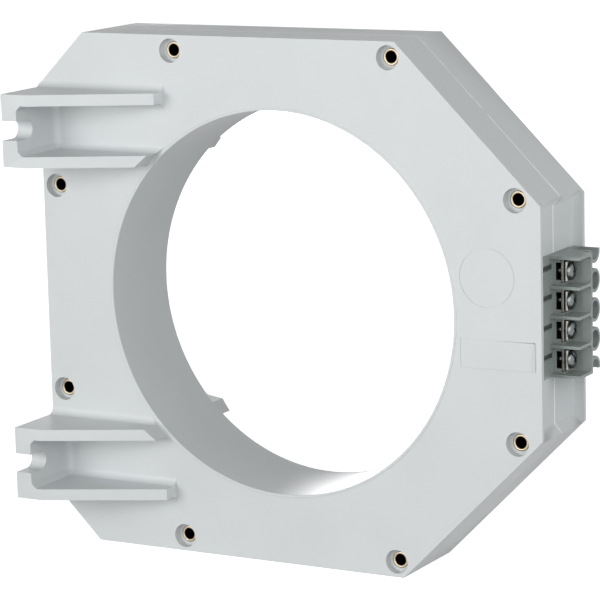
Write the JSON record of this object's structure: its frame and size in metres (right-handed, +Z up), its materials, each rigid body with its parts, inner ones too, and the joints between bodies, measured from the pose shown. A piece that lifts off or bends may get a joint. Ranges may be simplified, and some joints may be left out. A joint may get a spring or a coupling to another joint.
{
  "type": "current transformer",
  "caption": "Ring-type current transformer with a round window, octagonal two-part housing, slotted bracket feet and a screw terminal block.",
  "frame": {"origin": "centre of the round window on the parting plane of the housing", "axes": "-Y along the window's axis out of the front face, +X towards the terminal block, +Z up"},
  "size_m": [0.3157, 0.1326, 0.287],
  "materials": {
    "housing_grey": "fine matt moulding",
    "block_grey": "satin moulding",
    "zinc_plated_steel": "bright zinc",
    "brass": "satin",
    "core_steel": "matt strip",
    "case_plastic": "matt",
    "copper_wire": "enamelled wire",
    "tape": "wrapped tape",
    "foam": "foam",
    "lead_insulation": "satin"
  },
  "bodies": {
    "housing": {"front_shell": "housing_grey", "rear_shell": "housing_grey", "hollow_rivets": "brass", "magnetic_core": "core_steel", "core_case_tray": "case_plastic", "core_case_lid": "case_plastic", "secondary_winding": "copper_wire", "insulation_tape": "tape", "test_winding": "copper_wire", "foam_pads": "foam", "winding_leads": "lead_insulation", "terminal_block": "block_grey", "block_fixing_screws": "zinc_plated_steel", "contact_bar_1": "zinc_plated_steel", "contact_bar_2": "zinc_plated_steel", "contact_bar_3": "zinc_plated_steel", "contact_bar_4": "zinc_plated_steel"},
    "clamp_1": {"clamp_plate_1": "zinc_plated_steel"},
    "screw_1": {"clamp_screw_1": "zinc_plated_steel"},
    "clamp_2": {"clamp_plate_2": "zinc_plated_steel"},
    "screw_2": {"clamp_screw_2": "zinc_plated_steel"},
    "clamp_3": {"clamp_plate_3": "zinc_plated_steel"},
    "screw_3": {"clamp_screw_3": "zinc_plated_steel"},
    "clamp_4": {"clamp_plate_4": "zinc_plated_steel"},
    "screw_4": {"clamp_screw_4": "zinc_plated_steel"}
  },
  "joints": [
    {"name": "clamp_1_lift", "type": "slide", "parent": "housing", "child": "clamp_1", "axis": [1, 0, 0], "range_m": [0, 0.0035]},
    {"name": "screw_1_turn", "type": "hinge", "parent": "clamp_1", "child": "screw_1", "pos_m": [0.1489, 0, 0.0242], "axis": [1, 0, 0], "range_deg": [0, 1800]},
    {"name": "clamp_2_lift", "type": "slide", "parent": "housing", "child": "clamp_2", "axis": [1, 0, 0], "range_m": [0, 0.0035]},
    {"name": "screw_2_turn", "type": "hinge", "parent": "clamp_2", "child": "screw_2", "pos_m": [0.1489, 0, 0.0086], "axis": [1, 0, 0], "range_deg": [0, 1800]},
    {"name": "clamp_3_lift", "type": "slide", "parent": "housing", "child": "clamp_3", "axis": [1, 0, 0], "range_m": [0, 0.0035]},
    {"name": "screw_3_turn", "type": "hinge", "parent": "clamp_3", "child": "screw_3", "pos_m": [0.1489, 0, -0.007], "axis": [1, 0, 0], "range_deg": [0, 1800]},
    {"name": "clamp_4_lift", "type": "slide", "parent": "housing", "child": "clamp_4", "axis": [1, 0, 0], "range_m": [0, 0.0035]},
    {"name": "screw_4_turn", "type": "hinge", "parent": "clamp_4", "child": "screw_4", "pos_m": [0.1489, 0, -0.0226], "axis": [1, 0, 0], "range_deg": [0, 1800]}
  ],
  "couplings": [
    {"joint": "screw_1_turn", "follows": "clamp_1_lift", "rad_per_m": 8976},
    {"joint": "screw_2_turn", "follows": "clamp_2_lift", "rad_per_m": 8976},
    {"joint": "screw_3_turn", "follows": "clamp_3_lift", "rad_per_m": 8976},
    {"joint": "screw_4_turn", "follows": "clamp_4_lift", "rad_per_m": 8976}
  ]
}
